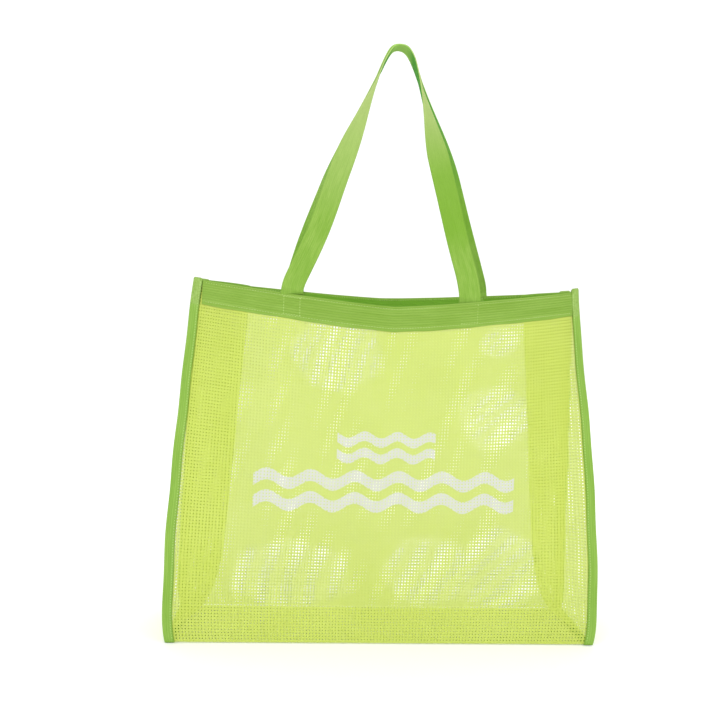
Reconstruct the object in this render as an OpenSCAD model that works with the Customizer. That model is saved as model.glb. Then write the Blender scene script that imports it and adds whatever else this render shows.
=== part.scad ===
// Net beach tote: see-through net panels, side gussets folded inward,
// webbing hems, bound side seams and two webbing loop handles.
// Millimetres. +Z up, -Y is the front, origin on the floor under the
// middle of the bottom panel.

/* [Bag] */
// Half the bag's width at the mouth's corners
mouth_half_w = 202; // [180:1:230]
// How much wider each side is low down than at the mouth
flare = 22; // [10:1:30]
// Depth of the bottom, front to back
depth = 110; // [90:1:130]
// Height of the mouth's corners
side_h = 368; // [330:1:400]
// How far the front rim's middle hangs below its corners
front_sag = 23; // [5:1:35]
// How far the back rim's middle hangs below its corners
back_sag = 12; // [5:1:35]
// Half the gap between front and back rims at the corners
corner_gap = 15; // [12:1:25]
// Half the gap between front and back rims at the middle
middle_gap = 70; // [60:1:85]
// How far each side crease folds in towards the middle
fold_in = 56; // [40:1:60]
// Thickness of the net, as a closed sheet
net_t = 1.2; // [0.8:0.1:1.6]

/* [Tapes] */
// Height of the hem webbing on each face
hem_h = 25; // [20:1:30]
// Width of the side binding on each face
bind_w = 10; // [8:1:12]
// Total thickness of hem or binding with the net inside
tape_t = 3.8; // [3.4:0.1:4.4]
// Thickness of the slot that the net sits in
slot_t = 2.0; // [1.8:0.1:2.2]

/* [Handles] */
// Width of the handle webbing
strap_w = 22; // [18:1:25]
// Thickness of the handle webbing
strap_t = 1.6; // [1.2:0.1:2]
// Where the front handle's left leg is sewn on
front_left_x = -101; // [-110:1:-90]
// Where the front handle's right leg is sewn on
front_right_x = 76; // [70:1:90]
// Where the back handle's left leg is sewn on
back_left_x = -101; // [-110:1:-90]
// Where the back handle's right leg is sewn on
back_right_x = 108; // [90:1:112]
// Top of the front handle above the floor
front_top = 615; // [590:1:620]
// Top of the back handle above the floor
back_top = 622; // [590:1:625]

/* [Hidden] */

net_col = [0.84, 0.91, 0.40];
tape_col = [0.56, 0.73, 0.29];
strap_col = [0.60, 0.77, 0.33];
eps = 0.001;

// smooth step from 0 to 1
function ss(a) = let(b = min(1, max(0, a))) b * b * (3 - 2 * b);

// ---- the bag's surface -------------------------------------------------
// v runs 0 at the floor to 1 at the rim, u runs -1 left to 1 right.
function half_w(v) = mouth_half_w + flare * (1 - pow(v, 1.6)) - 4 * exp(-v / 0.04);
function edge_y(v) = depth / 2 - (depth / 2 - corner_gap) * ss((v - 0.2) / 0.8);
function mid_y(v) = depth / 2 + (middle_gap - depth / 2) * pow(v, 1.2);
function wall_y(u, v) = edge_y(v) + (mid_y(v) - edge_y(v)) * (1 - pow(min(1, abs(u)), 2.6));
function rim_drop(u, sag) = sag * (1 - pow(min(1, abs(u)), 1.25));
function wall_z(u, v, sag) = v * (side_h - rim_drop(u, sag));
// a wall at side s (-1 front, 1 back) by true x and v, pushed off * s outward
function wall_at(x, v, s, sag, off = 0) =
    let(u = x / half_w(v)) [x, s * (wall_y(u, v) + off), wall_z(u, v, sag)];
// the same by height below the rim instead of v
function hem_v(x, down, sag) =
    let(u = min(1, abs(x) / mouth_half_w), top = side_h - rim_drop(u, sag)) 1 - down / top;
function rim_y(x, down, sag) = let(v = hem_v(x, down, sag)) wall_y(x / half_w(v), v);
function rim_z(x, sag) = side_h - rim_drop(x / mouth_half_w, sag);

// ---- gusset: t runs -1 front edge, 0 crease, 1 back edge -----------------
gap_end = 4.6; // clearance between the gusset's edges and the side walls
function fold_depth(v) = fold_in * (1 - exp(-pow(v / 0.06, 0.75)));
function fold_k(v) = let(e = edge_y(v) - gap_end) min(0.8, max(0.06, 3.2 * fold_depth(v) / (e * e)));
function fold_f(t, v) = let(k = fold_k(v)) (sqrt(t * t + k * k) - k) / (sqrt(1 + k * k) - k);
function gus(t, v) = [
    half_w(v) - 1.4 - fold_depth(v) * (1 - fold_f(t, v)),
    t * (edge_y(v) - gap_end),
    5 + v * (side_h - 5) - 6 * v * (1 - abs(t))];
function unit(a) = a / norm(a);
// horizontal normal of the gusset, pointing away from the bag's inside
function gus_n(t, v) = let(
    d = gus(min(1, t + 0.01), v) - gus(max(-1, t - 0.01), v),
    h = unit([d[0], d[1], 0])) [h[1], -h[0], 0];
function gus_off(t, v, o) = gus(t, v) + o * gus_n(t, v);

// ---- solids from point grids -------------------------------------------
// A closed skin between two grids of the same size: p outer, q inner.
module skin(p, q) {
    nv = len(p); nu = len(p[0]);
    pts = concat([for (r = p) each r], [for (r = q) each r]);
    o = nv * nu;
    faces = concat(
        [for (j = [0 : nv - 2]) for (i = [0 : nu - 2]) let(a = j * nu + i)
            each [[a, a + 1, a + nu + 1], [a, a + nu + 1, a + nu]]],
        [for (j = [0 : nv - 2]) for (i = [0 : nu - 2]) let(a = o + j * nu + i)
            each [[a, a + nu + 1, a + 1], [a, a + nu, a + nu + 1]]],
        [for (i = [0 : nu - 2]) each [[i, o + i, o + i + 1], [i, o + i + 1, i + 1]]],
        [for (i = [0 : nu - 2]) let(a = (nv - 1) * nu + i)
            each [[a, a + 1, o + a + 1], [a, o + a + 1, o + a]]],
        [for (j = [0 : nv - 2]) let(a = j * nu)
            each [[a, a + nu, o + a + nu], [a, o + a + nu, o + a]]],
        [for (j = [0 : nv - 2]) let(a = j * nu + nu - 1)
            each [[a, o + a, o + a + nu], [a, o + a + nu, a + nu]]]);
    polyhedron(pts, [for (f = faces) [f[2], f[1], f[0]]], convexity = 10);
}
// A closed body through rings of equal point count. cap lists the end faces'
// triangles; flip turns every face over for a mirrored side.
module loft(rings, cap, flip = false) {
    n = len(rings[0]); m = len(rings); o = (m - 1) * n;
    pts = [for (r = rings) each r];
    faces = concat(
        [for (c = cap) [c[2], c[1], c[0]]],
        [for (c = cap) [o + c[0], o + c[1], o + c[2]]],
        [for (j = [0 : m - 2]) for (k = [0 : n - 1]) let(a = j * n + k, b = j * n + (k + 1) % n)
            each [[a, b, b + n], [a, b + n, a + n]]]);
    polyhedron(pts, flip ? [for (f = faces) [f[2], f[1], f[0]]] : faces, convexity = 10);
}
tape_cap = [[0, 1, 6], [0, 6, 7], [1, 2, 5], [1, 5, 6], [2, 3, 4], [2, 4, 5]];
strap_cap = [[0, 1, 2], [0, 2, 3]];
// The folded tape's section as [across, along] pairs, open end at 0, fold at h
function tape_ring(h) = let(a = tape_t / 2, b = slot_t / 2, c = h - (tape_t - slot_t) / 2)
    [[-a, 0], [-a, h], [a, h], [a, 0], [b, 0], [b, c], [-b, c], [-b, 0]];

// ---- front and back walls ----------------------------------------------
// s is -1 for the front, 1 for the back
module wall_panel(s, sag) {
    nu = 26; nv = 24;
    // the outermost column of cells lies wholly inside the side binding
    function pt(i, j, o) = let(
        v = j < nv ? j / nv : 1 - 1.8 / side_h,
        x = i == 0 ? 1.6 - half_w(v) : i == nu ? half_w(v) - 1.6
            : (-1 + 2 * (i - 1) / (nu - 2)) * (half_w(v) - bind_w),
        w = wall_at(x, v, s, sag, o)) [w[0], w[1], max(1.4, w[2])];
    a = [for (j = [0 : nv]) [for (i = [0 : nu]) pt(i, j, net_t / 2)]];
    b = [for (j = [0 : nv]) [for (i = [0 : nu]) pt(i, j, -net_t / 2)]];
    color(net_col) if (s < 0) skin(a, b); else skin(b, a);
}
module wall_hem(s, sag) {
    n = 40;
    x1 = mouth_half_w - bind_w - 0.4;
    rings = [for (i = [0 : n]) let(x = -x1 + 2 * x1 * i / n)
        [for (p = tape_ring(hem_h)) let(down = hem_h - p[1])
            [x, s * rim_y(x, down, sag) + p[0], rim_z(x, sag) - down]]];
    color(tape_col) loft(rings, tape_cap);
}
// m is -1 for the left side, 1 for the right
module wall_binding(s, m, sag) {
    n = 24;
    rings = [for (j = [0 : n]) let(v = j / n)
        [for (p = tape_ring(bind_w)) let(
            x = half_w(v) - bind_w + p[1], u = x / half_w(v))
            [m * x, s * wall_y(u, v) + p[0], max(1.0, wall_z(u, v, sag))]]];
    color(tape_col) loft(rings, tape_cap, flip = m > 0);
}
// sewn end of a strap, flat against the hem's inner face
module strap_end(s, x0, sag) {
    n = 4; nv = 3;
    off = -(tape_t / 2 + 0.3);
    function pt(i, j, o) = let(x = x0 - strap_w / 2 + strap_w * i / n, down = hem_h - 1 - (hem_h - 3) * j / nv)
        [x, s * (rim_y(x, down, sag) + o), rim_z(x, sag) - down];
    a = [for (j = [0 : nv]) [for (i = [0 : n]) pt(i, j, off)]];
    b = [for (j = [0 : nv]) [for (i = [0 : n]) pt(i, j, off - strap_t)]];
    color(strap_col) if (s < 0) skin(a, b); else skin(b, a);
}

// ---- gussets ------------------------------------------------------------
module gusset(m) {
    nt = 20; nv = 16;
    function vv(j) = let(a = j / nv) pow(a, 1.5) * (1 - 1.8 / side_h);
    function mx(p) = [m * p[0], p[1], p[2]];
    a = [for (j = [0 : nv]) [for (i = [0 : nt]) mx(gus_off(-1 + 2 * i / nt, vv(j), net_t / 2))]];
    b = [for (j = [0 : nv]) [for (i = [0 : nt]) mx(gus_off(-1 + 2 * i / nt, vv(j), -net_t / 2))]];
    color(net_col) if (m > 0) skin(a, b); else skin(b, a);
}
module gusset_hem(m) {
    n = 24;
    rings = [for (i = [0 : n]) let(t = 0.94 * (-1 + 2 * i / n), nn = gus_n(t, 1), top = gus(t, 1)[2])
        [for (p = tape_ring(hem_h)) let(down = hem_h - p[1], v = 1 - down / side_h, g = gus(t, v))
            [m * (g[0] + p[0] * nn[0]), g[1] + p[0] * nn[1], top - down]]];
    color(tape_col) loft(rings, tape_cap, flip = m > 0);
}

// ---- bottom ---------------------------------------------------------------
bot_x = mouth_half_w + flare - 4 - 0.6;
module bottom_panel() {
    x0 = bot_x - bind_w - 12; x1 = bot_x - bind_w; x2 = bot_x - 1.6; r = 1.3;
    color(net_col) rotate([90, 0, 0]) linear_extrude(height = depth - 4.8, center = true)
        polygon([[-x2, r], [-x1, r], [-x0, 0], [x0, 0], [x1, r], [x2, r],
            [x2, r + net_t], [x1 - 0.4, r + net_t], [x0 - 0.4, net_t],
            [-x0 + 0.4, net_t], [-x1 + 0.4, r + net_t], [-x2, r + net_t]]);
}
module bottom_binding(m) {
    color(tape_col) rotate([90, 0, 0]) linear_extrude(height = depth - 8, center = true)
        polygon([for (p = tape_ring(bind_w)) [m * (bot_x - bind_w + p[1]), tape_t / 2 + p[0]]]);
}

// ---- handles ---------------------------------------------------------------
// One leg at d below the top: a round arch of reach a over the peg, a slant b
// that eases by c on the way down, a turn to upright over the last w, and a
// soft bow towards the other leg low down.
function arch(d, a, q) = a * (1 - exp(-sqrt(max(0, d)) / q));
function slant(reach, h, a, q, c, w) =
    (reach - arch(h, a, q) + c * h * h - 0.75 * c * h * w) / (h - 0.375 * w);
function leg_x(d, h, a, q, b, c, w, bow) = arch(d, a, q) + b * d - c * d * d
    - 0.375 * (b - 2 * c * h) / w * pow(max(0, d - h + w), 2)
    - bow * pow(max(0, sin(180 * pow(min(1, d / h), 2))), 1.5);
// part of a quarter turn that the webbing has made by d below the top
// for a turn that starts at from and takes span
function turned(d, from, span) = let(t = min(1, max(0, (d - from) / span))) t * (0.55 + 0.45 * t);
// left and right are each leg's [a, q, c, w, bow, from, span]
module handle(s, xl, xr, xt, top, left, right, zb, y_low) {
    n = 28;
    h = top - zb;
    bl = slant(xt - xl, h, left[0], left[1], left[2], left[3]);
    br = slant(xr - xt, h, right[0], right[1], right[2], right[3]);
    y_high = strap_w / 2 + 0.4;
    function dd(w) = h * w * w;
    function mid(w) = let(d = dd(abs(w)))
        [w < 0 ? xt - leg_x(d, h, left[0], left[1], bl, left[2], left[3], left[4])
            : xt + leg_x(d, h, right[0], right[1], br, right[2], right[3], right[4]),
         s * (y_high + (y_low - y_high) * d / h), top - strap_t / 2 - d];
    function tan_(w) = unit(mid(min(1, w + 0.01)) - mid(max(-1, w - 0.01)));
    function turn(w) = 90 * (1 - (w < 0 ? turned(dd(-w), left[5], left[6]) : turned(dd(w), right[5], right[6])));
    rings = [for (i = [-n : n]) let(
        w = i / n, c = mid(w),
        // outward normal of the leaning loop, level on the peg itself
        np = unit([0, s * h, (y_low - y_high) * ss((dd(w) - 8) / 60)]), t = tan_(w), f0 = unit(np - (np * t) * t),
        b0 = s < 0 ? cross(f0, t) : cross(t, f0), a = turn(w),
        f = cos(a) * f0 + sin(a) * b0, g = cos(a) * b0 - sin(a) * f0)
        [c + g * strap_w / 2 + f * strap_t / 2, c + g * strap_w / 2 - f * strap_t / 2,
         c - g * strap_w / 2 - f * strap_t / 2, c - g * strap_w / 2 + f * strap_t / 2]];
    color(strap_col) loft(rings, strap_cap, flip = s > 0);
}

module front_panel() wall_panel(-1, front_sag);
module back_panel() wall_panel(1, back_sag);
module front_hem() wall_hem(-1, front_sag);
module back_hem() wall_hem(1, back_sag);
module left_front_binding() wall_binding(-1, -1, front_sag);
module right_front_binding() wall_binding(-1, 1, front_sag);
module left_back_binding() wall_binding(1, -1, back_sag);
module right_back_binding() wall_binding(1, 1, back_sag);
module left_gusset() gusset(-1);
module right_gusset() gusset(1);
module left_gusset_hem() gusset_hem(-1);
module right_gusset_hem() gusset_hem(1);
module left_bottom_binding() bottom_binding(-1);
module right_bottom_binding() bottom_binding(1);
module front_handle_left_end() strap_end(-1, front_left_x, front_sag);
module front_handle_right_end() strap_end(-1, front_right_x, front_sag);
module back_handle_left_end() strap_end(1, back_left_x, back_sag);
module back_handle_right_end() strap_end(1, back_right_x, back_sag);
module front_handle() handle(-1, front_left_x, front_right_x, 2, front_top,
    [8, 1.5, 0.00022, 12, 5.6, 22, 105], [13, 1.8, 0.00013, 30, 3.2, 16, 98], 359, 63);
module back_handle() handle(1, back_left_x, back_right_x, 3, back_top,
    [10, 1.6, 0.00005, 12, -3.3, 30, 110], [13, 1.8, 0.00013, 12, 0, 34, 110], 366, 61);

bottom_panel();
left_gusset();
right_gusset();
left_gusset_hem();
right_gusset_hem();
left_bottom_binding();
right_bottom_binding();
front_panel();
front_hem();
left_front_binding();
right_front_binding();
front_handle_left_end();
front_handle_right_end();
back_panel();
back_hem();
left_back_binding();
right_back_binding();
back_handle_left_end();
back_handle_right_end();
front_handle();
back_handle();
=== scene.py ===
import math
import bpy
import numpy as np
from mathutils import Matrix, Vector


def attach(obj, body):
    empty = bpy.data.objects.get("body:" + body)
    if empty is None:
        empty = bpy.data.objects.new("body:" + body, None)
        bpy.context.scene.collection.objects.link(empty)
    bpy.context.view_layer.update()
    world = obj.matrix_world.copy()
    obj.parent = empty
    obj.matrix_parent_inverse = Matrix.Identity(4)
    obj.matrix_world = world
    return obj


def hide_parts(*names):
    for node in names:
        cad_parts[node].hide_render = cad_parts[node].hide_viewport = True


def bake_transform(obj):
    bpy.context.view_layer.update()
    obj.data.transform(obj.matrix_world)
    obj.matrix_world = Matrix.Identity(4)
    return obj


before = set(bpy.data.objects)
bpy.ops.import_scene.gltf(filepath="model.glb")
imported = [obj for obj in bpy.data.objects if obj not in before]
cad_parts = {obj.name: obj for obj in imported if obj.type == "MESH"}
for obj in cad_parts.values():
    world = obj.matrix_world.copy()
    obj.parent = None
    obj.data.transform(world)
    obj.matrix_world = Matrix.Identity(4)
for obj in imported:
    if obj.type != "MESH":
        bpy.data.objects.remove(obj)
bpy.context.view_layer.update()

# ---------------------------------------------------------------- camera first
YAW, PITCH, ROLL = (math.radians(a) for a in (3.752, -3.034, 1.811))
fw = Vector((math.sin(YAW) * math.cos(PITCH), math.cos(YAW) * math.cos(PITCH), math.sin(PITCH)))
rt = Vector((math.cos(YAW), -math.sin(YAW), 0))
up = rt.cross(fw)
cr = rt * math.cos(ROLL) + up * math.sin(ROLL)
cu = up * math.cos(ROLL) - rt * math.sin(ROLL)
camera = bpy.data.objects.new("camera", bpy.data.cameras.new("camera"))
bpy.context.scene.collection.objects.link(camera)
camera.data.sensor_width = 36
camera.data.lens = 42.5
camera.data.clip_start = 0.01
camera.data.clip_end = 60
camera.matrix_world = Matrix((
    (cr.x, cu.x, -fw.x, -0.08719),
    (cr.y, cu.y, -fw.y, -0.90532),
    (cr.z, cu.z, -fw.z, 0.33599),
    (0, 0, 0, 1)))
bpy.context.scene.camera = camera

# ------------------------------------------------- the bag's surface, millimetres
HALF_W, FLARE, DEPTH, SIDE_H = 202.0, 22.0, 110.0, 368.0
SAG = {-1: 23.0, 1: 12.0}
CORNER, MIDDLE, FOLD = 15.0, 70.0, 56.0
HEM_H, BIND_W = 25.0, 10.0
PITCH_MM, STRAND = 3.3, 2.0
STRAND_BACK, STRAND_FOLD = 2.45, 2.2
rng = np.random.default_rng(727)


def ss(a):
    b = np.clip(a, 0, 1)
    return b * b * (3 - 2 * b)


def half_w(v):
    w = np.clip(v, 0, None)
    return HALF_W + FLARE * (1 - w ** 1.6) - 4 * np.exp(-w / 0.04)


def edge_y(v):
    return DEPTH / 2 - (DEPTH / 2 - CORNER) * ss((v - 0.2) / 0.8)


def mid_y(v):
    return DEPTH / 2 + (MIDDLE - DEPTH / 2) * np.clip(v, 0, None) ** 1.2


def wall_y(u, v):
    e = edge_y(v)
    return e + (mid_y(v) - e) * (1 - np.minimum(1, np.abs(u)) ** 2.6)


def rim_drop(u, sag):
    return sag * (1 - np.minimum(1, np.abs(u)) ** 1.25)


def wall_z(u, v, sag):
    return v * (SIDE_H - rim_drop(u, sag))


def rim_z(x, sag):
    return SIDE_H - rim_drop(x / HALF_W, sag)


def rim_y(x, down, sag):
    v = 1 - down / rim_z(x, sag)
    return wall_y(x / half_w(v), v)


def waves(u, v, terms):
    """Slow undulation of the cloth, nil at the panel's edges."""
    out = 0
    for a, ku, kv, p in terms:
        out = out + a * np.sin(2 * math.pi * (ku * u + kv * v) + p)
    return out * (1 - np.abs(u) ** 4) * np.sin(math.pi * np.clip(v, 0, 1)) ** 0.7


WAVE = {
    -1: [(0.9, 0.9, 0.7, 0.4), (0.6, -1.6, 1.1, 2.0), (0.35, 2.7, 1.9, 0.9), (0.3, 1.2, -2.6, 4.0)],
    1: [(1.1, 1.1, -0.8, 1.7), (0.8, 1.9, 1.3, 0.3), (0.4, -2.4, 2.2, 5.0), (0.3, 3.3, 0.8, 2.2)],
}


def fold_depth(v):
    return FOLD * (1 - np.exp(-(np.clip(v, 0, None) / 0.06) ** 0.75))


def fold_f(t, v):
    e = edge_y(v) - 4.6
    k = np.clip(3.2 * fold_depth(v) / (e * e), 0.06, 0.8)
    return (np.sqrt(t * t + k * k) - k) / (np.sqrt(1 + k * k) - k)


def gus(t, v, gap=1.0):
    x = half_w(v) - 1.8 - fold_depth(v) * (1 - fold_f(t, v))
    return np.stack([x, t * (edge_y(v) - gap), 2.6 + v * (SIDE_H - 2.6) - 6 * v * (1 - np.abs(t))], -1)


# ----------------------------------------------------------------- mesh helpers
def make(name, verts, faces, mats, body=None, attrs=None, smooth=True, mat_index=None):
    """verts in millimetres; attrs maps a name to one 3-vector per vertex, in millimetres."""
    me = bpy.data.meshes.new(name)
    me.from_pydata((np.asarray(verts, float) * 0.001).tolist(), [], [list(map(int, f)) for f in faces])
    for key, val in (attrs or {}).items():
        at = me.attributes.new(key, "FLOAT_VECTOR", "POINT")
        at.data.foreach_set("vector", np.ascontiguousarray(val, np.float32).ravel())
    me.polygons.foreach_set("use_smooth", np.full(len(me.polygons), smooth, bool))
    for m in mats:
        me.materials.append(m)
    if mat_index is not None:
        me.polygons.foreach_set("material_index", np.asarray(mat_index, np.int32))
    me.validate()
    me.update()
    ob = bpy.data.objects.new(name, me)
    bpy.context.scene.collection.objects.link(ob)
    if body:
        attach(ob, body)
    return ob


def cell_net(P, flat, name, mat, body=None, flip=False, strand=STRAND, ridge=0.34, slack=None):
    """An open net: a square hole in every cell of the grid P (rows, columns, 3). One connected sheet.
    slack (rows, columns) is how much wider each hole is where the cloth is pulled open, in millimetres."""
    nv, nu = P.shape[0] - 1, P.shape[1] - 1
    du = np.gradient(P, axis=1)
    dv = np.gradient(P, axis=0)
    n = np.cross(du, dv)
    n /= np.linalg.norm(n, axis=-1, keepdims=True) + 1e-12
    if flip:
        n = -n
    knot = ridge + 0.1 * ((np.add.outer(np.arange(nv + 1), np.arange(nu + 1)) % 2) * 2 - 1)
    J = P + n * knot[..., None]
    a, b, c, d = P[:-1, :-1], P[:-1, 1:], P[1:, 1:], P[1:, :-1]
    lu = np.linalg.norm(b - a, axis=-1)
    lv = np.linalg.norm(d - a, axis=-1)
    wu = strand * (1 + 0.07 * rng.standard_normal(nu + 1))
    wv = strand * (1 + 0.07 * rng.standard_normal(nv + 1))
    give = np.zeros((nv, nu)) if slack is None else slack
    f0 = np.clip((wu[None, :-1] - give) / 2 / lu, 0.1, 0.42)
    f1 = np.clip((wu[None, 1:] - give) / 2 / lu, 0.1, 0.42)
    g0 = np.clip((wv[:-1, None] - give) / 2 / lv, 0.1, 0.42)
    g1 = np.clip((wv[1:, None] - give) / 2 / lv, 0.1, 0.42)

    def lerp(A, B, C, D, p, q):
        p, q = p[..., None], q[..., None]
        return (A * (1 - p) + B * p) * (1 - q) + (D * (1 - p) + C * p) * q
    corners = [(f0, g0), (1 - f1, g0), (1 - f1, 1 - g1), (f0, 1 - g1)]
    H = np.stack([lerp(a, b, c, d, np.broadcast_to(p, lu.shape), np.broadcast_to(q, lu.shape)) for p, q in corners], 2)
    F = flat
    fa, fb, fc, fd = F[:-1, :-1], F[:-1, 1:], F[1:, 1:], F[1:, :-1]
    HF = np.stack([lerp(fa, fb, fc, fd, np.broadcast_to(p, lu.shape), np.broadcast_to(q, lu.shape)) for p, q in corners], 2)
    nj = (nv + 1) * (nu + 1)
    jj, ii = np.meshgrid(np.arange(nv), np.arange(nu), indexing="ij")
    j00 = jj * (nu + 1) + ii
    js = [j00, j00 + 1, j00 + nu + 2, j00 + nu + 1]
    h0 = nj + (jj * nu + ii) * 4
    quads = []
    for k in range(4):
        m = (k + 1) % 4
        quads.append(np.stack([js[k], js[m], h0 + m, h0 + k], -1).reshape(-1, 4))
    faces = np.concatenate(quads)
    if flip:
        faces = faces[:, ::-1]
    verts = np.concatenate([J.reshape(-1, 3), H.reshape(-1, 3)])
    flats = np.concatenate([F.reshape(-1, 3), HF.reshape(-1, 3)])
    ob = make(name, verts, faces, [mat], body, {"flat": flats * 0.001})
    return ob


def sweep(rings, flats=None, name="", mats=(), body=None, closed=True, flip=False, attrs=None, cap=True):
    """A body through rings (stations, points, 3). Ends are capped with a fan to their middle."""
    m, n = rings.shape[:2]
    idx = np.arange(m * n).reshape(m, n)
    nxt = np.roll(idx, -1, axis=1)
    f = np.stack([idx[:-1], nxt[:-1], nxt[1:], idx[1:]], -1).reshape(-1, 4).tolist()
    verts = rings.reshape(-1, 3)
    fl = flats.reshape(-1, 3)
    if cap:
        verts = np.concatenate([verts, rings[:1].mean(1), rings[-1:].mean(1)])
        fl = np.concatenate([fl, flats[:1].mean(1), flats[-1:].mean(1)])
        for k in range(n):
            f.append([m * n, int(nxt[0, k]), int(idx[0, k])])
            f.append([m * n + 1, int(idx[-1, k]), int(nxt[-1, k])])
    if flip:
        f = [q[::-1] for q in f]
    return make(name, verts, f, list(mats), body, {"flat": fl * 0.001})


STITCH = [(-0.5, 0.25), (-0.3, 0.85), (0.0, 1.0), (0.3, 0.85), (0.5, 0.25)]


def stitches(name, centres, along, normal, mat, body, length=2.0, r=0.27, sink=0.1):
    """Small lock stitches lying on a face: one lozenge of thread each."""
    C, A, N = (np.asarray(x, float).reshape(-1, 3) for x in (centres, along, normal))
    A = A / np.linalg.norm(A, axis=1, keepdims=True)
    N = N - (N * A).sum(1, keepdims=True) * A
    N = N / np.linalg.norm(N, axis=1, keepdims=True)
    B = np.cross(A, N)
    k = 6
    rings = []
    for p, q in STITCH:
        for j in range(k):
            a = 2 * math.pi * j / k
            rings.append(C + A * (p * length) + (B * math.cos(a) + N * math.sin(a)) * (r * q) + N * (r * q - sink - (1 - q) * 0.25))
    V = np.stack(rings, 1)
    nr = len(STITCH)
    base = []
    for i in range(nr - 1):
        for j in range(k):
            base.append([i * k + j, (i + 1) * k + j, (i + 1) * k + (j + 1) % k, i * k + (j + 1) % k])
    faces = []
    for s in range(len(C)):
        o = s * nr * k
        faces += [[o + v for v in q] for q in base]
        faces.append([o + j for j in range(k)])
        faces.append([o + (nr - 1) * k + j for j in range(k)][::-1])
    fl = np.repeat(C, nr * k, axis=0)
    return make(name, V.reshape(-1, 3), faces, [mat], body, {"flat": fl * 0.001})


# -------------------------------------------------------------------- materials
def lin(r, g, b):
    def f(c):
        c /= 255.0
        return c / 12.92 if c <= 0.04045 else ((c + 0.055) / 1.055) ** 2.4
    return (f(r), f(g), f(b), 1.0)


class Nodes:
    def __init__(self, name, rough=0.6, spec=0.3):
        self.mat = bpy.data.materials.new(name)
        self.mat.use_nodes = True
        self.t = self.mat.node_tree
        self.b = self.t.nodes["Principled BSDF"]
        self.b.inputs["Roughness"].default_value = rough
        self.b.inputs["Specular IOR Level"].default_value = spec

    def node(self, kind, **props):
        n = self.t.nodes.new(kind)
        for k, v in props.items():
            setattr(n, k, v)
        return n

    def link(self, a, b):
        self.t.links.new(a, b)

    def put(self, sock, v):
        if isinstance(v, bpy.types.NodeSocket):
            self.link(v, sock)
        else:
            sock.default_value = v

    def math(self, op, a, b=None, c=None, clamp=False):
        n = self.node("ShaderNodeMath", operation=op, use_clamp=clamp)
        for i, v in enumerate((a, b, c)):
            if v is not None:
                self.put(n.inputs[i], v)
        return n.outputs[0]

    def attr(self, name="flat"):
        a = self.node("ShaderNodeAttribute", attribute_name=name)
        s = self.node("ShaderNodeSeparateXYZ")
        self.link(a.outputs["Vector"], s.inputs[0])
        return a.outputs["Vector"], s.outputs[0], s.outputs[1], s.outputs[2]

    def noise(self, vec, scale, detail=3.0, rough=0.55, stretch=None):
        if stretch:
            m = self.node("ShaderNodeMapping")
            m.inputs["Scale"].default_value = stretch
            self.link(vec, m.inputs["Vector"])
            vec = m.outputs[0]
        n = self.node("ShaderNodeTexNoise")
        n.inputs["Scale"].default_value = scale
        n.inputs["Detail"].default_value = detail
        n.inputs["Roughness"].default_value = rough
        self.link(vec, n.inputs["Vector"])
        return n.outputs[0]

    def mix(self, fac, a, b, blend="MIX"):
        n = self.node("ShaderNodeMix", data_type="RGBA", blend_type=blend)
        self.put(n.inputs["Factor"], fac)
        self.put(n.inputs["A"], a)
        self.put(n.inputs["B"], b)
        return n.outputs["Result"]

    def ramp(self, v, lo, hi, a=0.0, b=1.0):
        n = self.node("ShaderNodeMapRange")
        n.inputs["From Min"].default_value = lo
        n.inputs["From Max"].default_value = hi
        n.inputs["To Min"].default_value = a
        n.inputs["To Max"].default_value = b
        self.put(n.inputs["Value"], v)
        return n.outputs[0]

    def bump(self, height, strength, dist):
        n = self.node("ShaderNodeBump")
        n.inputs["Strength"].default_value = strength
        n.inputs["Distance"].default_value = dist
        self.link(height, n.inputs["Height"])
        self.link(n.outputs[0], self.b.inputs["Normal"])


def net_material(name, printed=False, light=(202, 217, 99), dark=(196, 212, 90)):
    k = Nodes(name, rough=0.55, spec=0.2)
    k.b.inputs["Alpha"].default_value = 0.78
    vec, x, y, _ = k.attr()
    cloud = k.noise(vec, 14.0, 4.0)
    fine = k.noise(vec, 900.0, 2.0)
    col = k.mix(k.ramp(cloud, 0.35, 0.68), lin(*dark), lin(*light))
    col = k.mix(k.ramp(fine, 0.3, 0.7, 0.0, 0.2), col, lin(212, 227, 120))
    # threads: fine twist along both directions
    tw = 2 * math.pi / 0.00055
    twist = k.math("MULTIPLY", k.math("SINE", k.math("MULTIPLY", x, tw)), k.math("SINE", k.math("MULTIPLY", y, tw)))
    k.bump(twist, 0.25, 0.0001)
    if printed:
        ink = None
        for x0, x1, z0, amp, wave, thick, phase in (
                (-0.052, 0.047, 0.2120, 0.0034, 0.0330, 0.0096, 0.0), (-0.052, 0.047, 0.1955, 0.0034, 0.0330, 0.0096, 0.0),
                (-0.135, 0.130, 0.1700, 0.0046, 0.0442, 0.0120, 0.0), (-0.135, 0.130, 0.1478, 0.0046, 0.0442, 0.0120, 0.0)):
            s = k.math("MULTIPLY", k.math("SINE", k.math("MULTIPLY_ADD", x, 2 * math.pi / wave, phase)), amp)
            d = k.math("ABSOLUTE", k.math("SUBTRACT", k.math("SUBTRACT", y, z0), s))
            band = k.ramp(d, thick / 2 + 0.0004, thick / 2 - 0.0004)
            ends = k.math("MULTIPLY", k.ramp(x, x0 - 0.0004, x0 + 0.0004), k.ramp(x, x1 + 0.0004, x1 - 0.0004))
            part = k.math("MULTIPLY", band, ends, clamp=True)
            ink = part if ink is None else k.math("MAXIMUM", ink, part)
        ink_wear_and_painted_leg_shade = k.ramp(k.noise(vec, 420.0, 2.0), 0.28, 0.42, 0.85, 1.0)
        ink = k.math("MULTIPLY", ink, ink_wear_and_painted_leg_shade)
        col = k.mix(ink, col, lin(213, 214, 206))
        k.link(k.math("MULTIPLY_ADD", ink, 0.2, 0.5), k.b.inputs["Roughness"])
    k.link(col, k.b.inputs["Base Color"])
    return k.mat


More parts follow.
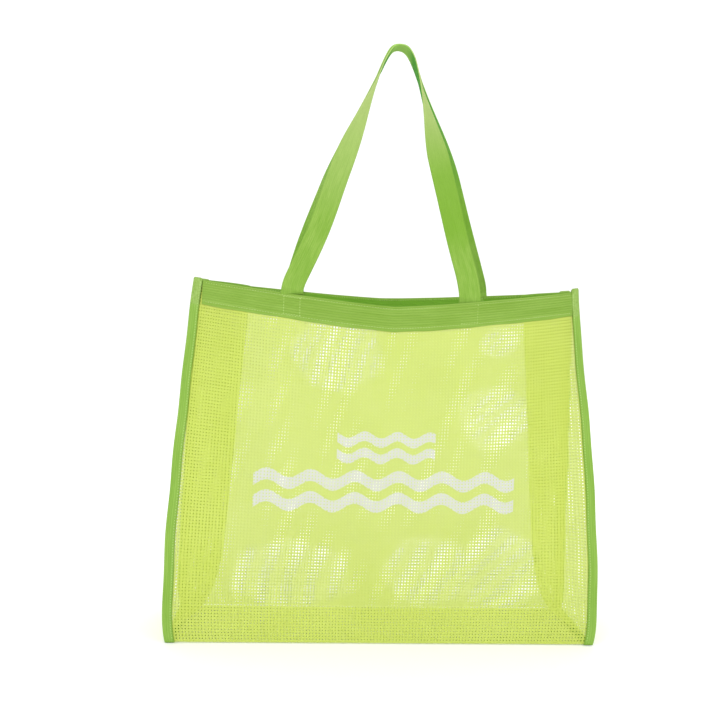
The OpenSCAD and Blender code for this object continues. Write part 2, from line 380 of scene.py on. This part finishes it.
def web_material(name, light, dark, valley_shade, rib=3.0, weave=0.9, smooth=0.0, ribs=0.45):
    """Woven webbing: ribs run along x of the flat coordinates, y is across, all in metres.
    Below `smooth` the tape is plain, as under a sewn edge. The valley colour is painted shade in the rib grooves and
    where the weave dips between picks."""
    k = Nodes(name, rough=0.8, spec=0.15)
    vec, x, y, h = k.attr()
    streak = k.noise(vec, 60.0, 3.0, stretch=(0.25, 6.0, 1.0))
    cloud = k.noise(vec, 30.0, 3.0, stretch=(1.0, 0.6, 0.0))
    fleck = k.noise(vec, 1500.0, 2.0)
    col = k.mix(k.ramp(streak, 0.32, 0.7), lin(*dark), lin(*light))
    col = k.mix(k.ramp(cloud, 0.4, 0.72, 0.0, 0.55), col, lin(*dark))
    # painted shade in the rib grooves: the valley colour is mixed in between the ribs
    r = k.math("COSINE", k.math("MULTIPLY", y, 2 * math.pi / (rib * 0.001)))
    groove_shade = k.ramp(r, -0.95, 0.3, ribs, 0.0)
    if smooth:
        groove_shade = k.math("MULTIPLY", groove_shade, k.ramp(y, smooth - 0.0006, smooth + 0.0006))
    col = k.mix(groove_shade, col, lin(*valley_shade))
    # picks across, warps along
    pick = k.math("SINE", k.math("MULTIPLY", x, 2 * math.pi / (weave * 0.001)))
    warp = k.math("SINE", k.math("MULTIPLY", y, 2 * math.pi / 0.0006))
    w = k.math("MULTIPLY_ADD", k.math("MULTIPLY", pick, warp), 0.5, fleck)
    # painted shade where the weave dips between picks, mixed with random flecks
    col = k.mix(k.ramp(w, 0.25, 0.85, 0.22, 0.0), col, lin(*valley_shade))
    k.bump(w, 0.5, 0.00018)
    return k, col, x, y, h


def finish_web(parts):
    k, col = parts[:2]
    k.link(col, k.b.inputs["Base Color"])
    return k.mat


# painted shade: the front net's tones, the defaults of net_material, are a little darker than the plain net's, to even
# out the stronger light on the front wall
M_NET_F = net_material("net_front", printed=True)
M_NET = net_material("net_plain", light=(210, 226, 103), dark=(204, 221, 94))
def hem_material():
    """The hem's inner face, where little light falls, is a deeper green."""
    k, col, x, y, h = web_material("hem_webbing", (149, 183, 85), (130, 166, 64), (108, 147, 50), rib=2.45, smooth=0.0052)
    col = k.mix(k.ramp(y, 0.0255, 0.0275, 0.0, 0.75), col, lin(104, 160, 42))
    k.link(col, k.b.inputs["Base Color"])
    return k.mat


def bind_material():
    """The side binding; where it wraps the hem's ends it is worn and greyer."""
    k, col, x, y, h = web_material("binding_tape", (152, 190, 88), (133, 174, 69), (108, 150, 52), rib=2.2, weave=0.7, ribs=0.3)
    fuzz = k.ramp(k.noise(k.attr()[0], 340.0, 3.0), 0.35, 0.65)
    wrap = k.mix(fuzz, lin(134, 166, 76), lin(160, 190, 108))
    col = k.mix(k.ramp(x, 0.341, 0.344, 0.0, 0.75), col, wrap)
    k.link(col, k.b.inputs["Base Color"])
    return k.mat


M_HEM = hem_material()
M_BIND = bind_material()


def strap_material():
    """The handles' webbing, with a painted highlight where it turns over at the top, painted shade on its inner face
    there and along the right leg, and painted light right at the top.
    """
    k, col, x, y, h = web_material("handle_webbing", (150, 186, 84), (128, 170, 62), (112, 152, 56), rib=1.9, ribs=0.28)
    # painted highlight: the webbing is paler towards the top, where the strap turns toward the light
    col = k.mix(k.ramp(h, 0.43, 0.6, 0.0, 0.85), col, lin(183, 201, 128))
    # painted shade: a darker, more saturated green along the middle and lower right leg
    ink_wear_and_painted_leg_shade = k.math("MULTIPLY", k.ramp(x, 0.40, 0.46), k.ramp(x, 0.545, 0.52), clamp=True)
    col = k.mix(k.math("MULTIPLY", ink_wear_and_painted_leg_shade, 0.75), col, lin(117, 164, 47))
    # painted shade: the inner face is a deeper green near the top, inside the arch
    painted_inner_shade = k.math("MULTIPLY", k.ramp(y, 0.014, 0.016), k.ramp(h, 0.47, 0.56, 0.12, 1.0), clamp=True)
    col = k.mix(painted_inner_shade, col, lin(84, 158, 58))
    # painted light: a lighter green right at the top of the turn, laid over the painted shade
    top = k.ramp(h, 0.6, 0.612)
    col = k.mix(top, col, lin(160, 200, 100))
    k.link(col, k.b.inputs["Base Color"])
    return k.mat


M_STRAP = strap_material()
k = Nodes("thread", rough=0.55, spec=0.3)
vec, x, y, _ = k.attr()
k.link(k.mix(k.ramp(k.noise(vec, 300.0, 2.0), 0.3, 0.7), lin(178, 208, 116), lin(194, 220, 138)), k.b.inputs["Base Color"])
M_THREAD = k.mat


# ----------------------------------------------------------------- the net walls
def spread_row(fn, n, lo=-1.0, hi=1.0, fine=500):
    """n + 1 points of the curve fn(u), evenly spaced along its own length, and their u."""
    u = np.linspace(lo, hi, fine)
    p = fn(u)
    s = np.concatenate([[0], np.cumsum(np.linalg.norm(np.diff(p, axis=0), axis=1))])
    uu = np.interp(np.linspace(0, s[-1], n + 1), s, u)
    return fn(uu), uu


def pulled(x, z, zones):
    """Zones where the knit is pulled open, 0 to 1, in slanting streaks where a period and a slope are given."""
    out = np.zeros_like(x)
    for cx, cz, rx, rz, *streak in zones:
        r = ((x - cx) / rx) ** 2 + ((z - cz) / rz) ** 2 + 0.18 * np.sin(x / 11.0 + 1.0) * np.sin(z / 9.0)
        open_ = ss(2.6 - 2.2 * r)
        if streak:
            period, slope = streak
            wob = 1.6 * np.sin(z / 8.0 + cx)
            line = 0.5 + 0.5 * np.cos(2 * np.pi * (x - cx - slope * (z - cz) + wob) / period)
            open_ = open_ * ss((line - 0.3) / 0.4)
        out = np.maximum(out, open_)
    return out


# middle x and z, half width and half height of each open zone, then its streaks' period and slope
ZONES = {
    -1: [(-54, 297, 44, 38, 14, 0.39), (108, 312, 16, 12, 14, 0.9), (112, 236, 36, 30, 20, 1.3),
         (-95, 72, 62, 34, 24, 0.25), (45, 76, 42, 34, 22, 0.6), (118, 78, 42, 44, 24, 1.1)],
    1: [(-49, 292, 54, 46), (134, 308, 22, 18), (132, 222, 40, 38), (-96, 38, 74, 40), (64, 42, 54, 42), (146, 44, 46, 50)],
}


def wall_net(s, name, mat, body):
    nu, nv = 134, (111 if s < 0 else 99)
    sag = SAG[s]
    top = 1 - 3.5 / SIDE_H
    P, F = [], []
    for j in range(nv + 1):
        v = top * j / nv

        def row(u):
            x = u * (half_w(v) - 1.7)
            q = x / half_w(v)
            off = waves(u, v, WAVE[s])
            return np.stack([x, s * (wall_y(q, v) + off), np.maximum(1.5, wall_z(q, v, sag))], -1)
        p, uu = spread_row(row, nu)
        if s > 0:
            uu = uu + 0.055 * (v - 0.5) * SIDE_H / half_w(v) * (1 - np.abs(uu) ** 6)
            p = row(uu)
        P.append(p)
        F.append(np.stack([p[:, 0], p[:, 2], 0 * uu], -1))
    P, F = np.array(P), np.array(F)
    M = (P[:-1, :-1] + P[1:, 1:]) / 2
    strand = STRAND if s < 0 else STRAND_BACK
    slack = (strand - 1.3) * pulled(M[..., 0], M[..., 2], ZONES[s])
    return cell_net(P, F, name, mat, body, flip=(s > 0), strand=strand, slack=slack)


front_net = wall_net(-1, "front_net", M_NET_F, "front_side")
back_net = wall_net(1, "back_net", M_NET, "back_side")

# bottom net
nb, mb = 132, 33
xs = np.linspace(-217.0, 217.0, nb + 1)
ys = np.linspace(-54.6, 54.6, mb + 1)
X, Y = np.meshgrid(xs, ys)
Z = 0.9 + 0.9 * ss((np.abs(X) - 196) / 14) + 0.35 * (1 - (X / 217) ** 2) * np.cos(np.pi * Y / 110) * np.sin(X / 31.0 + 1.0) ** 2
P = np.stack([X, Y, Z], -1)
bottom_net = cell_net(P, np.stack([X, Y, 0 * X], -1), "bottom_net", M_NET, "base", strand=STRAND_FOLD)


# ---------------------------------------------------------------------- gussets
def gusset_net(m, side, name):
    """Half a gusset: side -1 is the half that meets the front wall."""
    nt, nv = 18, 111
    P, F = [], []
    top = 1 - 3.5 / SIDE_H
    for j in range(nv + 1):
        v = top * j / nv

        def row(t):
            g = gus(t, v)
            g[:, 0] *= m
            return g
        p, tt = spread_row(row, nt, 0.0, 1.0 * side)
        P.append(p)
        F.append(np.stack([tt * 56.0, p[:, 2], 0 * tt], -1))
    P, F = np.array(P), np.array(F)
    return cell_net(P, F, name, M_NET, None, flip=(m * side < 0), strand=STRAND_FOLD)


def crease_blend(ob, m, side):
    """Fits a ramp that runs from the crease (0) to the seam (1), which is then left unused, and bakes the transform
    into the mesh.
    """
    v = np.linspace(0.08, 1, 40)
    a = gus(np.zeros_like(v), v)
    b = gus(np.ones_like(v) * side, v)
    a[:, 0] *= m
    b[:, 0] *= m
    A = np.concatenate([np.column_stack([a, np.ones(len(v))]), np.column_stack([b, np.ones(len(v))])])
    y = np.concatenate([np.zeros(len(v)), np.ones(len(v))])
    sol = np.linalg.lstsq(A, y, rcond=None)[0]
    g, d = sol[:3], sol[3]
    d = (d - 0.08) / 0.84
    g = g / 0.84
    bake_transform(ob)


gussets = {}
for m, sn in ((-1, "left"), (1, "right")):
    for side, fn in ((-1, "front"), (1, "back")):
        gussets[m, side] = gusset_net(m, side, f"{sn}_gusset_{fn}_half")

# ------------------------------------------------------------------------ tapes
def tape_profile(h, half=1.7, slot=0.55, ribs=(), amp=0.22, step=0.45, edge=0.5):
    """The folded tape's section: [out, up, across] with the fold at h. Ribs lie along the tape."""
    up_ = np.arange(edge, h - half, step)
    n_up = len(up_)

    def face(z):
        out = np.full_like(z, half)
        for c, w in ribs:
            out = out + amp * np.exp(-((z - c) / w) ** 2)
        return out - (amp * 0.8 if len(ribs) else 0) * 0
    outer = [(half - 0.35, 0.05)] + [(o, z) for o, z in zip(face(up_), up_)]
    arc = [(half * math.cos(a), h - half + half * math.sin(a)) for a in np.linspace(0.12, math.pi - 0.12, 9)]
    inner = [(-o, z) for o, z in zip(face(up_)[::-1], up_[::-1])] + [(-(half - 0.35), 0.05)]
    slot_pts = [(-slot, 0.05), (-slot, h - half - 0.2), (slot, h - half - 0.2), (slot, 0.05)]
    prof = np.array(outer + arc + inner + slot_pts)
    d = np.concatenate([[0], np.cumsum(np.linalg.norm(np.diff(prof, axis=0), axis=1))])
    n_skin = len(outer) + len(arc) + len(inner)
    # across coordinate: height on the outer face, mirrored on the inner one
    across = prof[:, 1].copy()
    across[len(outer) + 4: n_skin] = 2 * h - across[len(outer) + 4: n_skin]
    return prof, across


HEM_RIBS = [(c, 0.75) for c in np.arange(6.4, 24.0, 2.45)]


def wall_hem(s, name, body):
    sag = SAG[s]
    x1 = HALF_W - BIND_W + 1.5
    m = 200
    prof, across = tape_profile(HEM_H, 1.55, 0.6, HEM_RIBS, 0.28, 0.4)
    x = np.linspace(-x1, x1, m + 1)
    wob = 0.35 * np.sin(x / 23.0 + 1.3 * s) + 0.22 * np.sin(x / 9.1 + 0.4) + 0.25 * np.sin(x / 47.0)
    lift = 0.28 * np.sin(x / 17.0 + 2.0) + 0.2 * np.sin(x / 6.7 + s)
    rings, fl = [], []
    for i, xi in enumerate(x):
        low = np.clip(1 - prof[:, 1] / 8, 0, 1)
        h = prof[:, 1] + lift[i] * low + 0.15 * lift[i] * (1 - low)
        down = HEM_H - np.minimum(h, HEM_H)
        y = rim_y(xi, down, sag) + prof[:, 0] + wob[i] * (1 - low) * 0.5
        rings.append(np.stack([np.full(len(prof), xi), s * y, rim_z(xi, sag) - (HEM_H - h)], -1))
        fl.append(np.stack([np.full(len(prof), xi), across, 0 * across], -1))
    return sweep(np.array(rings), np.array(fl), name, [M_HEM], body, flip=(s > 0))


def hem_face(s, x, up_, out):
    """Point on the hem's outer (out > 0) or inner face, with the direction along and the normal."""
    sag = SAG[s]
    x = np.asarray(x, float)

    def at(q):
        return np.stack([q, s * (rim_y(q, HEM_H - up_, sag) + out), rim_z(q, sag) - (HEM_H - up_)], -1)
    c = at(x)
    a = at(x + 0.5) - at(x - 0.5)
    n = np.tile([0, s * (1 if out > 0 else -1), 0], (len(x), 1))
    return c, a, n


front_hem = wall_hem(-1, "front_hem_webbing", "front_side")
back_hem = wall_hem(1, "back_hem_webbing", "back_side")


def bow_out(z, s, m):
    """The front left edge stands out a little above its middle."""
    return 1.5 * ss((z - 150) / 70) if (s, m) == (-1, -1) else 0.0 * z


def binding(s, m, name, body, knob=0.0):
    sag = SAG[s]
    prof, across = tape_profile(BIND_W, 1.75, 0.5, [(2.2, 0.7), (4.2, 0.7), (6.2, 0.7)], 0.16, 0.45)
    st = 150
    v = np.concatenate([np.linspace(0.002, 1.0, st), 1.0 + np.array([0.6, 1.2, 1.7, 2.0]) * (1 + knob) / SIDE_H])
    rings, fl = [], []
    for i, vi in enumerate(v):
        vc = min(vi, 1.0)
        w = half_w(vc)
        z0 = vc * SIDE_H
        sway = 0.5 * math.sin(z0 / 31.0 + 1.7 * m + s) + 0.3 * math.sin(z0 / 12.5 + m) + bow_out(z0, s, m)
        puff = 1 + 0.06 * math.sin(z0 / 7.3 + s * m)
        shrink = 1.0
        if i >= st:
            shrink = [0.97, 0.85, 0.6, 0.3][i - st]
        elif i < 4:
            shrink = [0.55, 0.8, 0.93, 1.0][i]
        # thicker where it wraps the hem's end
        thick = 1 + 0.32 * ss((z0 - 340) / 5) + (0.25 * knob * ss((z0 - 355) / 8))
        mid = BIND_W * 0.55
        h = mid + (prof[:, 1] - mid) * (1 if i < st else (0.55 + 0.45 * shrink))
        x = w - BIND_W + h + sway
        u = np.minimum(1, x / w)
        y = wall_y(u, vc) + prof[:, 0] * puff * shrink * thick
        z = np.maximum(0.6, wall_z(u, vc, sag)) + (vi - vc) * SIDE_H
        rings.append(np.stack([m * x, s * y, z], -1))
        fl.append(np.stack([np.full(len(prof), z0), across, 0 * across], -1))
    return sweep(np.array(rings), np.array(fl), name, [M_BIND], body, flip=(s * m > 0))


bindings = {}
for s, bn, body in ((-1, "front", "front_side"), (1, "back", "back_side")):
    for m, sn in ((-1, "left"), (1, "right")):
        bindings[s, m] = binding(s, m, f"{sn}_{bn}_binding_tape", body, knob=1.0 if (s, m) == (-1, 1) else 0.0)


def bottom_binding(m, name):
    prof, across = tape_profile(BIND_W, 1.6, 0.5, [(2.2, 0.7), (4.2, 0.7), (6.2, 0.7)], 0.14, 0.5)
    st = 50
    yy = np.linspace(-53.5, 53.5, st + 1)
    rings, fl = [], []
    for i, y in enumerate(yy):
        e = min(i, st - i)
        shrink = [0.6, 0.85, 1.0][min(e, 2)]
        x = 219.6 - BIND_W + prof[:, 1] + 0.25 * math.sin(y / 9)
        z = 1.85 + prof[:, 0] * shrink
        rings.append(np.stack([m * x, np.full(len(prof), y), z], -1))
        fl.append(np.stack([np.full(len(prof), y), across, 0 * across], -1))
    return sweep(np.array(rings), np.array(fl), name, [M_BIND], "base", flip=(m > 0))


bottom_l = bottom_binding(-1, "left_bottom_binding_tape")
bottom_r = bottom_binding(1, "right_bottom_binding_tape")


def gusset_hem(m, side, name):
    prof, across = tape_profile(HEM_H, 1.5, 0.6, HEM_RIBS, 0.24, 0.5)
    st = 48
    tt = np.linspace(0, 0.955, st + 1)
    rings, fl = [], []
    run = 0.0
    last = None
    for t in tt:
        t = t * side
        d = gus(np.array([t + 0.01]), np.array([1.0]))[0] - gus(np.array([t - 0.01]), np.array([1.0]))[0]
        d[2] = 0
        d /= np.linalg.norm(d)
        n = np.array([d[1], -d[0], 0])
        g1 = gus(np.array([t]), np.array([1.0]))[0]
        if last is not None:
            run += np.linalg.norm(g1 - last)
        last = g1
        down = HEM_H - prof[:, 1]
        v = 1 - down / SIDE_H
        g = gus(np.full(len(prof), t), v)
        x = g[:, 0] + prof[:, 0] * n[0]
        y = g[:, 1] + prof[:, 0] * n[1]
        z = g1[2] - down
        rings.append(np.stack([m * x, y, z], -1))
        fl.append(np.stack([np.full(len(prof), run), across, 0 * across], -1))
    return sweep(np.array(rings), np.array(fl), name, [M_HEM], None, flip=(m * side > 0))


ghems = {}
for m, sn in ((-1, "left"), (1, "right")):
    for side, fn in ((-1, "front"), (1, "back")):
        ghems[m, side] = gusset_hem(m, side, f"{sn}_gusset_hem_{fn}_half")

# ---------------------------------------------------------------------- handles
STRAP_W, STRAP_T = 22.0, 1.6


def strap_section():
    w, t = STRAP_W / 2, STRAP_T / 2
    xs_ = np.linspace(-w + 0.5, w - 0.5, 41)
    rib = 0.07 * np.cos(2 * math.pi * xs_ / 2.2)
    crown = t - 0.12 + 0.12 * (1 - (xs_ / w) ** 2)
    top = [(x_, c + r) for x_, c, r in zip(xs_, crown, rib)]
    right = [(w - 0.12, t * 0.55), (w, 0.0), (w - 0.12, -t * 0.55)]
    bot = [(x_, -(c + r)) for x_, c, r in zip(xs_[::-1], crown[::-1], rib[::-1])]
    left = [(-w + 0.12, -t * 0.55), (-w, 0.0), (-w + 0.12, t * 0.55)]
    return np.array(top + right + bot + left)


def leg_curve(reach, h, a, q, c, w, bow):
    """How far one leg stands out at d below the top: round over the peg, slanting, upright at its end."""
    def arch(d):
        return a * (1 - math.exp(-math.sqrt(max(0.0, d)) / q))
    b = (reach - arch(h) + c * h * h - 0.75 * c * h * w) / (h - 0.375 * w)
    return lambda d: (arch(d) + b * d - c * d * d - 0.375 * (b - 2 * c * h) / w * max(0.0, d - h + w) ** 2
                      - bow * max(0.0, math.sin(math.pi * min(1.0, d / h) ** 2)) ** 1.5)


def turned(d, start, span):
    t = min(1.0, max(0.0, (d - start) / span))
    return t * (0.55 + 0.45 * t)


def handle(s, xl, xr, xt, top, left, right, zb, y_low, name):
    h = top - zb
    leg_l, leg_r = leg_curve(xt - xl, h, *left[:5]), leg_curve(xr - xt, h, *right[:5])
    y_high = STRAP_W / 2 + 0.4
    sag = SAG[s]

    def mid(w):
        d = h * w * w
        # a slow wander of the soft webbing, nil at both ends of each leg
        soft = math.sin(math.pi * min(1.0, d / h)) ** 2
        wx = 0.7 * math.sin(d / 26.0 + s + (0 if w < 0 else 2)) * soft
        wy = 0.9 * math.sin(d / 33.0 + 2 * s + (1 if w < 0 else 0)) * soft
        return np.array([(xt - leg_l(d) if w < 0 else xt + leg_r(d)) + wx,
                         s * (y_high + (y_low - y_high) * d / h) + wy, top - STRAP_T / 2 - d])
    sec = strap_section()
    n = 130
    stations = []
    for i in range(-n, n + 1):
        w = math.copysign((abs(i) / n) ** 0.85, i)
        c = mid(w)
        a, b = mid(min(1, w + 0.004)), mid(max(-1, w - 0.004))
        t = (a - b) / np.linalg.norm(a - b)
        d = h * w * w
        npl = np.array([0, s * h, (y_low - y_high) * float(ss((d - 8) / 60))])
        npl = npl / np.linalg.norm(npl)
        f0 = npl - (npl @ t) * t
        f0 /= np.linalg.norm(f0)
        b0 = np.cross(f0, t) if s < 0 else np.cross(t, f0)
        soft = math.sin(math.pi * min(1.0, d / h)) ** 2
        ang = math.radians(90 * (1 - turned(d, *(left if w < 0 else right)[5:])) + 5.0 * soft * math.sin(d / 29.0 + (2.4 if w < 0 else 0.5) + s))
        f = math.cos(ang) * f0 + math.sin(ang) * b0
        g = math.cos(ang) * b0 - math.sin(ang) * f0
        stations.append((c, f, g, t))
    # sewn ends, flat inside the hem
    off = -(1.55 + STRAP_T / 2 + 0.25)

    def end(x0, down):
        c = np.array([x0, s * (float(rim_y(x0, down, sag)) + off), float(rim_z(x0, sag)) - down])
        return c
    out = []
    for x0, first in ((xl, True), (xr, False)):
        leg = stations[0] if first else stations[-1]
        fN = leg[1]
        seq = []
        for down in (22.0, 18.0, 14.0, 10.0, 6.0, 3.0):
            c = end(x0, down)
            f = np.array([0, s * 1.0, 0])
            t = np.array([0, 0, 1.0]) * (1 if first else -1)
            g = np.cross(f, t) if s < 0 else np.cross(t, f)
            seq.append((c, f, g, t))
        # smooth passage from the sewn end to the leg
        c0, c1 = seq[-1][0], leg[0]
        g0, g1, f0_, f1_ = seq[-1][2], leg[2], seq[-1][1], leg[1]
        for q in (0.3, 0.6, 0.85):
            g = g0 * (1 - ss(q)) + g1 * ss(q)
            f = f0_ * (1 - ss(q)) + f1_ * ss(q)
            g /= np.linalg.norm(g)
            f = f - (f @ g) * g
            f /= np.linalg.norm(f)
            seq.append((c0 * (1 - q) + c1 * q, f, g, None))
        out.append(seq)
    allst = out[0] + stations + out[1][::-1]
    rings, fl = [], []
    run = 0.0
    last = None
    for c, f, g, t in allst:
        if last is not None:
            run += np.linalg.norm(c - last)
        last = c
        rings.append(c + np.outer(sec[:, 0], g) + np.outer(sec[:, 1], f))
        fl.append(np.stack([np.full(len(sec), run), sec[:, 0] + np.where(sec[:, 1] < 0, 30.0, 0.0), np.full(len(sec), c[2])], -1))
    ob = sweep(np.array(rings), np.array(fl), name, [M_STRAP], None, flip=(s > 0))
    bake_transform(ob)
    return ob


front_strap = handle(-1, -101, 76, 2, 615, (8, 1.5, 0.00022, 12, 5.6, 22, 105), (13, 1.8, 0.00013, 30, 3.2, 16, 98), 359, 63,
                     "front_handle_strap")
back_strap = handle(1, -101, 108, 3, 622, (10, 1.6, 0.00005, 12, -3.3, 30, 110), (13, 1.8, 0.00013, 12, 0, 34, 110), 366, 61,
                    "back_handle_strap")

# ------------------------------------------------------------------- stitching
threads = []
for s, bn, body in ((-1, "front", "front_side"), (1, "back", "back_side")):
    C, A, N = [], [], []
    xs_ = np.arange(-189, 189.1, 2.7)
    for up_, o in ((3.4, 1.62), (3.4, -1.62), (22.6, 1.55), (22.6, -1.55)):
        c, a, n = hem_face(s, xs_, up_, o)
        C.append(c), A.append(a), N.append(n)
    # box of stitches where each handle end is sewn on
    for x0 in ((-101, 76) if s < 0 else (-101, 108)):
        for (xa, ua), (xb, ub) in (((-8, 4.6), (8, 4.6)), ((-8, 21.4), (8, 21.4)), ((-8, 4.6), (-8, 21.4)), ((8, 4.6), (8, 21.4))):
            k_ = int(round(math.hypot(xb - xa, ub - ua) / 2.6))
            for i in range(k_ + 1):
                q = i / k_
                xx, uu = x0 + xa + (xb - xa) * q, ua + (ub - ua) * q
                c, a, n = hem_face(s, np.array([xx]), uu, 1.66)
                d = np.array([[xb - xa, 0, ub - ua]], float)
                C.append(c), A.append(d), N.append(n)
    threads.append(stitches(f"{bn}_hem_stitching", np.concatenate(C), np.concatenate(A), np.concatenate(N), M_THREAD, body))
    for m, sn in ((-1, "left"), (1, "right")):
        z = np.arange(6, 366, 2.7)
        v = z / SIDE_H
        C, A, N = [], [], []
        for o in (1.82, -1.82):
            def at(vv):
                x = half_w(vv) - BIND_W + 1.5 + 0.5 * np.sin(vv * SIDE_H / 31.0 + 1.7 * m + s) + 0.3 * np.sin(vv * SIDE_H / 12.5 + m) + bow_out(vv * SIDE_H, s, m)
                u = x / half_w(vv)
                th = 1 + 0.32 * ss((vv * SIDE_H - 340) / 5)
                return np.stack([m * x, s * (wall_y(u, vv) + o * th), wall_z(u, vv, SAG[s])], -1)
            C.append(at(v)), A.append(at(v + 0.001) - at(v - 0.001)), N.append(np.tile([0, s * np.sign(o), 0], (len(v), 1)))
        threads.append(stitches(f"{sn}_{bn}_binding_stitching", np.concatenate(C), np.concatenate(A), np.concatenate(N), M_THREAD, body))

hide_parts("front_panel")
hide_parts("back_panel")
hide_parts("bottom_panel")
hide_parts("front_hem")
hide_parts("back_hem")
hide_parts("front_handle", "front_handle_left_end", "front_handle_right_end")
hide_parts("back_handle", "back_handle_left_end", "back_handle_right_end")
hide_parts("left_bottom_binding")
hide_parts("right_bottom_binding")
for m, sn in ((-1, "left"), (1, "right")):
    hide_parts(f"{sn}_front_binding")
    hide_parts(f"{sn}_back_binding")
    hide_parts(f"{sn}_gusset")
    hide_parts(f"{sn}_gusset")
    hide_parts(f"{sn}_gusset_hem")
    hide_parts(f"{sn}_gusset_hem")
    for side in (-1, 1):
        crease_blend(gussets[m, side], m, side)
        crease_blend(ghems[m, side], m, side)
for o in [front_net, back_net, bottom_net] + list(gussets.values()):
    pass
for o in [front_hem, back_hem] + list(ghems.values()):
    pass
for o in list(bindings.values()) + [bottom_l, bottom_r] + threads:
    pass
for o in (front_strap, back_strap):
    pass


for (m, side), g in gussets.items():
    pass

# ------------------------------------------------------------------------ stage
floor_mat = Nodes("floor_paint", rough=0.9, spec=0.1)
floor_mat.b.inputs["Base Color"].default_value = (0.95, 0.95, 0.95, 1)
floor_mat.b.inputs["Emission Color"].default_value = (1, 1, 1, 1)
floor_mat.b.inputs["Emission Strength"].default_value = 0.09
me = bpy.data.meshes.new("floor")
R = 14.0
prof = [(-R, 0.0)] + [(3.2 + 1.6 * math.sin(a), 1.6 - 1.6 * math.cos(a)) for a in np.linspace(0, math.pi / 2, 12)] + [(4.8, 9.0)]
vs, fs = [], []
for i, (yy, zz) in enumerate(prof):
    vs += [(-R, yy, zz), (R, yy, zz)]
    if i:
        fs.append((2 * i - 2, 2 * i - 1, 2 * i + 1, 2 * i))
me.from_pydata(vs, [], fs)
me.polygons.foreach_set("use_smooth", np.full(len(me.polygons), True))
me.materials.append(floor_mat.mat)
floor = bpy.data.objects.new("floor", me)
bpy.context.scene.collection.objects.link(floor)

world = bpy.data.worlds.new("studio")
world.use_nodes = True
world.node_tree.nodes["Background"].inputs[0].default_value = (1.0, 1.0, 1.0, 1)
world.node_tree.nodes["Background"].inputs[1].default_value = 1.0
bpy.context.scene.world = world


def area(name, loc, target, size, power):
    li = bpy.data.lights.new(name, "AREA")
    li.shape = "RECTANGLE"
    li.size, li.size_y = size
    li.energy = power
    ob = bpy.data.objects.new(name, li)
    ob.location = loc
    ob.rotation_euler = (Vector(target) - Vector(loc)).to_track_quat("-Z", "Y").to_euler()
    bpy.context.scene.collection.objects.link(ob)


area("key", (-1.5, -1.9, 2.0), (0, 0, 0.25), (1.6, 1.6), 20)
area("fill", (1.9, -1.5, 1.2), (0, 0, 0.25), (1.6, 1.6), 9)
area("back", (0.6, 2.2, 2.0), (0, 0, 0.3), (2.0, 1.4), 12)
bpy.context.scene.view_settings.view_transform = "Standard"
